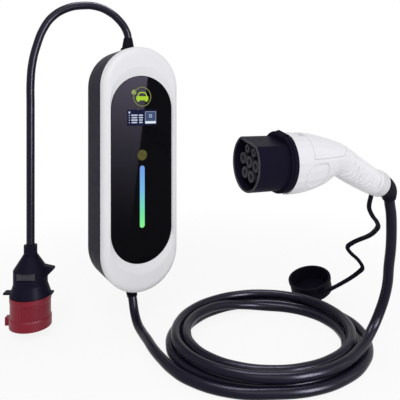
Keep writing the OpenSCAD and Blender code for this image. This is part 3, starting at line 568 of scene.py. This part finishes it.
class Signal:
    """One output socket in a material's node tree."""

    def __init__(self, tree, socket=None):
        self.tree = tree
        self.socket = socket

    def node(self, kind, settings=None, inputs=None, output=0):
        """Any node: its settings first, then the values or links of its inputs."""
        made = self.tree.nodes.new(kind)
        for name, value in (settings or {}).items():
            if name == "stops":
                set_stops(made.color_ramp, value)
            else:
                setattr(made, name, value)
        for key, value in (inputs or {}).items():
            if isinstance(value, Signal):
                self.tree.links.new(value.socket, made.inputs[key])
            else:
                made.inputs[key].default_value = value
        return Signal(self.tree, made.outputs[output])

    def beside(self, output):
        """Another output of the same node."""
        return Signal(self.tree, self.socket.node.outputs[output])

    def math(self, operation, *values):
        return self.node("ShaderNodeMath", {"operation": operation}, dict(enumerate(values)))

    def __add__(self, other):
        return self.math("ADD", self, other)

    def __sub__(self, other):
        return self.math("SUBTRACT", self, other)

    def __rsub__(self, other):
        return self.math("SUBTRACT", other, self)

    def __mul__(self, other):
        return self.math("MULTIPLY", self, other)

    def __lt__(self, other):
        return self.math("LESS_THAN", self, other)

    def __gt__(self, other):
        return self.math("GREATER_THAN", self, other)

    def __abs__(self):
        return self.math("ABSOLUTE", self)

    __radd__ = __add__
    __rmul__ = __mul__


print("signals can be added, taken away, multiplied and compared")

# %% A material and its shared patterns
# The Mix node keeps its colour sockets at these places, after those for numbers and vectors.
MIX_FIRST = 6
MIX_SECOND = 7
MIX_RESULT = 2


class Finish:
    """A material with its shader, and the patterns that the finishes share."""

    def __init__(self, name, **constants):
        self.material = bpy.data.materials.new(name)
        self.material.use_nodes = True
        self.tree = self.material.node_tree
        self.shader = self.tree.nodes["Principled BSDF"]
        self.start = Signal(self.tree)
        for socket, value in constants.items():
            self.shader.inputs[socket.replace("_", " ")].default_value = value

    def place(self):
        return self.start.node("ShaderNodeTexCoord", output="Object")

    def axes(self):
        """The place's x, y and z as three signals."""
        split = self.start.node("ShaderNodeSeparateXYZ", inputs={0: self.place()})
        return [split.beside(axis) for axis in "XYZ"]

    def noise(self, scale, detail=2.0):
        inputs = {"Vector": self.place(), "Scale": scale, "Detail": detail}
        return self.start.node("ShaderNodeTexNoise", inputs=inputs)

    def mix(self, factor, first, second):
        """The first colour where factor is 0 and the second where it is 1."""
        inputs = {0: factor, MIX_FIRST: first, MIX_SECOND: second}
        return self.start.node("ShaderNodeMix", {"data_type": "RGBA"}, inputs, output=MIX_RESULT)

    def link(self, socket, signal):
        self.tree.links.new(signal.socket, self.shader.inputs[socket])

    def bump(self, height, strength, depth):
        inputs = {"Height": height, "Strength": strength, "Distance": depth}
        self.link("Normal", self.start.node("ShaderNodeBump", inputs=inputs))


def rgb(red, green, blue):
    return (red, green, blue, 1.0)


print("the finishes share", len([name for name in vars(Finish) if not name.startswith("_")]), "methods")

# %% [markdown]
# ## Moulded plastics and rubber
#
# Most of the charger is moulded. A mould is etched with a fine grain so that scratches don't show, and
# each plastic takes that grain in its own way: the white shell is satin, the black housing is duller,
# rubber is almost matt. All of them are one recipe with other numbers: a grain for the bump, a slow noise
# that shifts the colour a little, and another that makes some places shinier than others.

# %% The moulded recipe
PLASTIC_SHINE = 0.2
BLACK_SHINE = 0.02
SHEATH_SHINE = 0.1
COLOUR_PATCHES = 18
SHINE_PATCHES = 95
PATCH_DETAIL = 3
GRAIN_DETAIL = 1
GRAIN_STRENGTH = 0.5
NOISE_MIDDLE = 0.5


def moulded(name, colour, shade, roughness, spread, grain, grain_depth, shine=PLASTIC_SHINE):
    """A moulded finish whose colour wanders towards shade and whose roughness varies by spread."""
    finish = Finish(name, Specular_IOR_Level=shine)
    patches = finish.noise(COLOUR_PATCHES, PATCH_DETAIL)
    finish.link("Base Color", finish.mix(patches, rgb(*colour), rgb(*shade)))
    unevenness = finish.noise(SHINE_PATCHES, PATCH_DETAIL) - NOISE_MIDDLE
    finish.link("Roughness", roughness + unevenness * spread)
    finish.bump(finish.noise(grain, GRAIN_DETAIL), GRAIN_STRENGTH, grain_depth)
    return finish.material


# Colour, shade, roughness, its spread, the grain's scale and depth, and for the dark ones the shine.
MOULDED = {
    "white_plastic": ((0.88, 0.88, 0.90), (0.82, 0.82, 0.86), 0.34, 0.1, 2200, 0.00003),
    "black_plastic": ((0.010, 0.009, 0.021), (0.008, 0.007, 0.016), 0.42, 0.16, 1500, 0.00006, BLACK_SHINE),
    "black_rubber": ((0.010, 0.009, 0.017), (0.008, 0.007, 0.013), 0.5, 0.16, 1800, 0.00006, BLACK_SHINE),
    "cable_sheath": ((0.010, 0.009, 0.021), (0.008, 0.007, 0.016), 0.3, 0.1, 1300, 0.00001, SHEATH_SHINE),
    "red_plastic": ((0.24, 0.010, 0.026), (0.19, 0.007, 0.02), 0.38, 0.12, 1700, 0.00005),
    "carrier_grey": ((0.05, 0.048, 0.06), (0.04, 0.038, 0.05), 0.5, 0.12, 1700, 0.00005),
    "clamp_grey": ((0.09, 0.09, 0.10), (0.07, 0.07, 0.08), 0.5, 0.1, 1700, 0.00005),
    "relay_blue": ((0.03, 0.10, 0.35), (0.025, 0.08, 0.3), 0.42, 0.1, 1700, 0.00005),
    "sensor_cream": ((0.70, 0.66, 0.55), (0.62, 0.58, 0.48), 0.55, 0.1, 1700, 0.00005),
    "supply_yellow": ((0.70, 0.50, 0.06), (0.62, 0.43, 0.05), 0.4, 0.1, 900, 0.00005),
    "terminal_green": ((0.05, 0.27, 0.10), (0.04, 0.22, 0.08), 0.42, 0.1, 1700, 0.00005),
}
FINISHES = {name: moulded(name, *recipe) for name, recipe in MOULDED.items()}
print("moulded finishes:", ", ".join(FINISHES))

# %% [markdown]
# ## Metal
#
# The pins and contacts are turned brass with a thin bright plating, and the screws are zinc-plated steel.
# Turning leaves fine marks, and plating evens them out, so a little fine noise in the shine is enough.

# %% Plated metal
METAL_PATCHES = 60
TURNING_MARKS = 900
TURNING_SPREAD = 0.12
PLATING_GRAIN = 2500
PLATING_STRENGTH = 0.4
PLATING_DEPTH = 0.00002


def plated(name, colour, shade, roughness):
    """A bright metal with faint marks from turning."""
    finish = Finish(name, Metallic=1.0)
    patches = finish.noise(METAL_PATCHES, PATCH_DETAIL)
    finish.link("Base Color", finish.mix(patches, rgb(*colour), rgb(*shade)))
    unevenness = finish.noise(TURNING_MARKS) - NOISE_MIDDLE
    finish.link("Roughness", roughness + unevenness * TURNING_SPREAD)
    finish.bump(finish.noise(PLATING_GRAIN, GRAIN_DETAIL), PLATING_STRENGTH, PLATING_DEPTH)
    return finish.material


FINISHES["brass_contact"] = plated("brass_contact", (0.62, 0.47, 0.22), (0.5, 0.37, 0.16), 0.3)
FINISHES["steel"] = plated("steel", (0.6, 0.6, 0.62), (0.5, 0.5, 0.52), 0.34)
print("plated finishes added")

# %% [markdown]
# ## The circuit boards
#
# A board is glass fibre under a green mask, with copper tracks that show through as paler lines. They are
# inside the box, but whoever opens it finds a board and not a green slab. The joints of a brick pattern
# make lines that turn at right angles, as tracks do.

# %% Solder mask
MASK_GREEN = rgb(0.02, 0.12, 0.05)
TRACK_GREEN = rgb(0.07, 0.26, 0.1)
MASK_ROUGHNESS = 0.35
TRACK_SCALE = 160.0
TRACK_WIDTH = 0.02
TRACK_STRENGTH = 0.4
TRACK_DEPTH = 0.00004


def solder_mask():
    """A green board with paler tracks that stand out a little."""
    finish = Finish("circuit_board", Roughness=MASK_ROUGHNESS)
    brick = {"Vector": finish.place(), "Scale": TRACK_SCALE, "Mortar Size": TRACK_WIDTH}
    tracks = finish.start.node("ShaderNodeTexBrick", inputs=brick, output="Fac")
    finish.link("Base Color", finish.mix(tracks, MASK_GREEN, TRACK_GREEN))
    finish.bump(tracks, TRACK_STRENGTH, TRACK_DEPTH)
    return finish.material


FINISHES["circuit_board"] = solder_mask()
print("solder mask added")

# %% [markdown]
# ## The display
#
# The front panel is black acrylic, as glossy as glass. Behind it lie a small screen, a green ring with a
# car in it, a touch key and a long bar of light that runs from blue at the top to green at the foot. What
# glows is drawn by masks on the surface's own place, so that it stays where it is from every side.

# %% The black panel
GLASS_SHINE = 0.015
GLASS_ROUGHNESS = 0.03
GLASS_SPREAD = 0.03
GLASS_PATCHES = 9
GLASS_BLACK = rgb(0.0035, 0.0035, 0.005)
GLASS_SHADE = rgb(0.005, 0.0048, 0.0065)
UNLIT = rgb(0, 0, 0)
ROUNDEL_GREEN = rgb(0.2, 0.26, 0.06)
ROUNDEL_GLOW = 0.4
ROUNDEL_LEFT = 0.93
ROUNDEL_UP = 0.44
ROUNDEL_RADIUS = 0.26


def panel_gloss():
    """Black acrylic with one small printed roundel at the ring's upper left."""
    finish = Finish("panel_gloss", Specular_IOR_Level=GLASS_SHINE, Emission_Strength=ROUNDEL_GLOW)
    ring_radius = (ring_high.x - ring_low.x) / 2
    across, _, up = finish.axes()
    sideways_off = across - (ring_middle.x - ROUNDEL_LEFT * ring_radius)
    upwards_off = up - (ring_middle.z + ROUNDEL_UP * ring_radius)
    distance_squared = sideways_off * sideways_off + upwards_off * upwards_off
    roundel = distance_squared < (ROUNDEL_RADIUS * ring_radius) ** 2
    patches = finish.noise(GLASS_PATCHES)
    black = finish.mix(patches, GLASS_BLACK, GLASS_SHADE)
    finish.link("Base Color", finish.mix(roundel, black, ROUNDEL_GREEN))
    finish.link("Emission Color", finish.mix(roundel, UNLIT, ROUNDEL_GREEN))
    finish.link("Roughness", GLASS_ROUGHNESS + patches * GLASS_SPREAD)
    return finish.material


FINISHES["panel_gloss"] = panel_gloss()
print("panel added")

# %% The inlays
INLAY_SHINE = 0.01
INLAY_ROUGHNESS = 0.4
INLAY_PATCHES = 240
INLAY_BLACK = rgb(0.004, 0.004, 0.006)
INLAY_DARKNESS = 0.85


def lit_from_behind(finish, colour):
    """A material whose colour glows and whose own surface is nearly black."""
    finish.link("Base Color", finish.mix(INLAY_DARKNESS, colour, INLAY_BLACK))
    finish.link("Emission Color", colour)
    return finish.material


def glowing(name, colour, shade, strength):
    """A dark inlay that is lit a little unevenly."""
    finish = Finish(
        name, Roughness=INLAY_ROUGHNESS, Emission_Strength=strength, Specular_IOR_Level=INLAY_SHINE,
    )
    return lit_from_behind(finish, finish.mix(finish.noise(INLAY_PATCHES), rgb(*colour), rgb(*shade)))


FINISHES["ring_olive"] = glowing("ring_olive", (0.25, 0.28, 0.09), (0.18, 0.21, 0.06), 0.9)
FINISHES["symbol_lime"] = glowing("symbol_lime", (0.40, 0.62, 0.04), (0.33, 0.52, 0.03), 0.95)
FINISHES["key_olive"] = glowing("key_olive", (0.15, 0.14, 0.035), (0.03, 0.03, 0.012), 0.9)
print("inlays added")

# %% The light bar
BAR_GLOW = 0.95
BAR_STOPS = [
    (0.0, (0.24, 0.83, 0.26)), (0.2, (0.16, 0.73, 0.31)), (0.4, (0.16, 0.61, 0.52)),
    (0.6, (0.17, 0.46, 0.72)), (1.0, (0.16, 0.31, 0.75)),
]


def light_guide():
    """A bar of light that is green at its foot and blue at its top."""
    finish = Finish(
        "light_guide", Roughness=INLAY_ROUGHNESS, Emission_Strength=BAR_GLOW, Specular_IOR_Level=INLAY_SHINE,
    )
    low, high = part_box("light_bar")
    _, _, height = finish.axes()
    share = (height - low.z) * (1 / (high.z - low.z))
    return lit_from_behind(finish, finish.start.node("ShaderNodeValToRGB", {"stops": BAR_STOPS}, {0: share}))


FINISHES["light_guide"] = light_guide()
print("light bar added")

# %% The screen
SCREEN_ROUGHNESS = 0.3
SCREEN_GLOW = 0.9
SCREEN_NAVY = rgb(0.008, 0.010, 0.035)
FIELD_BLUE = rgb(0.05, 0.075, 0.16)
MARK_BLUE = rgb(0.52, 0.58, 0.74)
FOOT_WHITE = rgb(0.72, 0.78, 0.86)
# Places are from the screen's middle, and a block is its place, width and height.
DOT_X = -0.0192
DOT_SIZE = (0.0014, 0.0012)
TOP_BLOCK = (DOT_X, 0.0072, 0.0026, 0.0024)
FIRST_ROW_Z = 0.0034
ROW_STEP = 0.0033
LONG_DASH_X = -0.0118
LONG_DASHES = (0.0094, 0.0080, 0.0094, 0.0080)
SHORT_DASH_X = -0.0022
SHORT_DASHES = (0.0062, 0.0062, 0.0050, 0.0050)
DASH_HEIGHT = 0.0018
FIELD_X = 0.0125
FIELD_SIDE = 0.0157
FRAME_SIDE = 0.0165
SQUARE_Z = 0.0022
SQUARE_SIDE = 0.0042
SQUARE_INSIDE = 0.0026
FOOT_BLOCK = (FIELD_X, -0.0066, FIELD_SIDE, 0.0032)


def screen():
    """A navy screen with dots and rows of plain dashes at its left and a framed field at its right."""
    finish = Finish(
        "screen", Roughness=SCREEN_ROUGHNESS, Emission_Strength=SCREEN_GLOW, Specular_IOR_Level=INLAY_SHINE,
    )
    low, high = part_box("lcd_module")
    middle = (low + high) / 2
    across, _, up = finish.axes()

    def block(x, z, width, height):
        inside_x = abs(across - (middle.x + x)) < width / 2
        inside_z = abs(up - (middle.z + z)) < height / 2
        return inside_x * inside_z

    marks = block(*TOP_BLOCK)
    for row, (long_dash, short_dash) in enumerate(zip(LONG_DASHES, SHORT_DASHES)):
        row_z = FIRST_ROW_Z - ROW_STEP * row
        marks += block(DOT_X, row_z, *DOT_SIZE)
        marks += block(LONG_DASH_X, row_z, long_dash, DASH_HEIGHT)
        marks += block(SHORT_DASH_X, row_z, short_dash, DASH_HEIGHT)
    field = block(FIELD_X, 0, FIELD_SIDE, FIELD_SIDE)
    marks += block(FIELD_X, 0, FRAME_SIDE, FRAME_SIDE) - field
    marks += block(FIELD_X, SQUARE_Z, SQUARE_SIDE, SQUARE_SIDE)
    marks -= block(FIELD_X, SQUARE_Z, SQUARE_INSIDE, SQUARE_INSIDE)
    ground = finish.mix(field, SCREEN_NAVY, FIELD_BLUE)
    lines = finish.mix(marks, ground, MARK_BLUE)
    return lit_from_behind(finish, finish.mix(block(*FOOT_BLOCK), lines, FOOT_WHITE))


FINISHES["screen"] = screen()
print("screen added")

# %% [markdown]
# ## Dressing the solid parts
#
# The record says which finish each part has. The parts keep their shape, and each one gets its finish in
# its own material slot. The pieces made here take theirs from the same list.

# %% Give every part its finish
# The nose lip's carrier grey, lighter than the black nose, is a painted highlight on its rim.
PIECE_FINISHES = [
    (grip_ribs, "white_plastic"), (plug_plate, "carrier_grey"), (grip_end, "white_plastic"),
    (elbow, "black_rubber"), (socket_tubes, "carrier_grey"), (nose_lip, "carrier_grey"),
    (cap, "black_rubber"), (car_sign, "symbol_lime"), (mains_cord, "cable_sheath"),
    (output_cord, "cable_sheath"), (strap, "black_rubber"),
]

for subpart in frame["record"]["subparts"]:
    node = nodes[subpart["node"]]
    node.data.materials.clear()
    node.data.materials.append(FINISHES[subpart["material_slot"]])
for piece, slot in PIECE_FINISHES:
    piece.data.materials.append(FINISHES[slot])

# %% [markdown]
# ## Floor, world and lamps
#
# The picture has a plain white ground. The floor is a pale sheet that the camera sees mostly as white.
# Near the object enough of its own shade is left to carry the soft shadow, and further out it turns into
# plain white, so that no horizon shows. Glossy surfaces see that white ground too. Two broad lamps light
# the object evenly. Three more only show in reflections, and light linking keeps each to its own pieces:
# a slim one draws the soft sheen on the panel, a long one overhead draws a streak along the coil, and a
# tall one does so on the plug and the upright leads.

# %% Floor
FLOOR_HALF = 12.0
FLOOR_COLOUR = rgb(0.95, 0.95, 0.95)
FLOOR_ROUGHNESS = 0.9
FLOOR_MIDDLE = (0.1, -0.12)
WHITE = rgb(1, 1, 1)
NEAR_WHITE = 0.87
NEAR_REACH = 0.3
FAR_REACH = 0.9
BACKGROUND_RAYS = ("Is Camera Ray", "Is Glossy Ray", "Is Transmission Ray")


def seen_as_background(tree):
    """A signal that is 1 for what is seen straight on, mirrored or through glass, and 0 for other light."""
    path = Signal(tree).node("ShaderNodeLightPath")
    straight, mirrored, through = (path.beside(name) for name in BACKGROUND_RAYS)
    return straight + mirrored + through > 0


floor_shape = bmesh.new()
bmesh.ops.create_grid(floor_shape, x_segments=2, y_segments=2, size=FLOOR_HALF)
bmesh.ops.translate(floor_shape, verts=floor_shape.verts, vec=(0, 0, FLOOR_Z))
floor = finished("floor", floor_shape, smooth=False)
floor_finish = Finish("floor_white", Base_Color=FLOOR_COLOUR, Roughness=FLOOR_ROUGHNESS)
glow = floor_finish.start.node("ShaderNodeEmission", inputs={"Color": WHITE, "Strength": 1.0})
shade = Signal(floor_finish.tree, floor_finish.shader.outputs[0])
floor_x, floor_y, _ = floor_finish.axes()
off_x = floor_x - FLOOR_MIDDLE[0]
off_y = floor_y - FLOOR_MIDDLE[1]
distance = floor_finish.start.math("SQRT", off_x * off_x + off_y * off_y)
reach = {
    "Value": distance, "From Min": NEAR_REACH, "From Max": FAR_REACH, "To Min": NEAR_WHITE, "To Max": 1.0,
}
whiteness = floor_finish.start.node("ShaderNodeMapRange", {"interpolation_type": "SMOOTHSTEP"}, reach)
share = seen_as_background(floor_finish.tree) * whiteness
ground = floor_finish.start.node("ShaderNodeMixShader", inputs={0: share, 1: shade, 2: glow})
floor_output = floor_finish.tree.nodes["Material Output"]
floor_finish.tree.links.new(ground.socket, floor_output.inputs["Surface"])
floor.data.materials.append(floor_finish.material)
print("floor at", FLOOR_Z)

# %% World
AMBIENT = 0.42

world = bpy.data.worlds.new("studio")
world.use_nodes = True
scene.world = world
backdrop = world.node_tree.nodes["Background"]
strength = seen_as_background(world.node_tree) * (1 - AMBIENT) + AMBIENT
world.node_tree.links.new(strength.socket, backdrop.inputs["Strength"])
backdrop.inputs["Color"].default_value = WHITE
scene.view_settings.view_transform = "Standard"
print("world light", AMBIENT)

# %% Lamps
def lamp(name, place, target, width, height, power, colour=(1, 1, 1)):
    """A rectangular lamp that looks at a point."""
    data = bpy.data.lights.new(name, "AREA")
    data.shape = "RECTANGLE"
    data.size = width
    data.size_y = height
    data.energy = power
    data.color = colour
    made = bpy.data.objects.new(name, data)
    made.location = place
    made.rotation_euler = (Vector(target) - Vector(place)).to_track_quat("-Z", "Y").to_euler()
    scene.collection.objects.link(made)
    return made


lamp("key_lamp", place=(-1.0, -1.7, 1.5), target=(0.0, -0.1, 0.0), width=1.4, height=1.4, power=27)
lamp("fill_lamp", place=(1.6, -1.4, 0.5), target=(0.05, -0.15, 0.0), width=0.5, height=1.2, power=6)
print("lamps at the left and the right")

# %% Lamps for the reflections
SHEEN_LEAN = math.radians(7)
LAVENDER = (0.86, 0.83, 1.0)
DEEP_LAVENDER = (0.80, 0.72, 1.0)

sheen = lamp(
    "sheen_lamp", place=(0.035, -0.232, 0.003), target=(0.035, 0.0, 0.003), width=0.07, height=0.29,
    power=5, colour=DEEP_LAVENDER,
)
sheen.rotation_euler.rotate(Matrix.Rotation(SHEEN_LEAN, 3, "Y"))
streak = lamp(
    "streak_lamp", place=(0.13, -0.1, 1.1), target=(0.13, -0.15, -0.2), width=0.9, height=0.3,
    power=36, colour=LAVENDER,
)
upright = lamp(
    "upright_lamp", place=(0.23, -1.14, 0.15), target=(0.05, -0.1, 0.05), width=0.25, height=0.6,
    power=40, colour=LAVENDER,
)
leads = [mains_cord, output_cord]
for reflected, receivers in ((sheen, [nodes["display_panel"]]), (streak, leads), (upright, leads + plug)):
    reflected.visible_camera = False
    reflected.visible_diffuse = False
    lit_by = bpy.data.collections.new(reflected.name + "_receivers")
    for receiver in receivers:
        lit_by.objects.link(receiver)
    reflected.light_linking.receiver_collection = lit_by
print("lamps for the panel and the leads added")

# %% The sheen's fade
sheen.data.use_nodes = True
sheen_tree = sheen.data.node_tree
on_lamp = Signal(sheen_tree).node("ShaderNodeNewGeometry", output="Parametric")
fade = on_lamp.node("ShaderNodeSeparateXYZ", inputs={0: on_lamp}, output="Y")
sheen_tree.links.new((fade * fade).socket, sheen_tree.nodes["Emission"].inputs["Strength"])
print("the sheen fades along its lamp")

# %% [markdown]
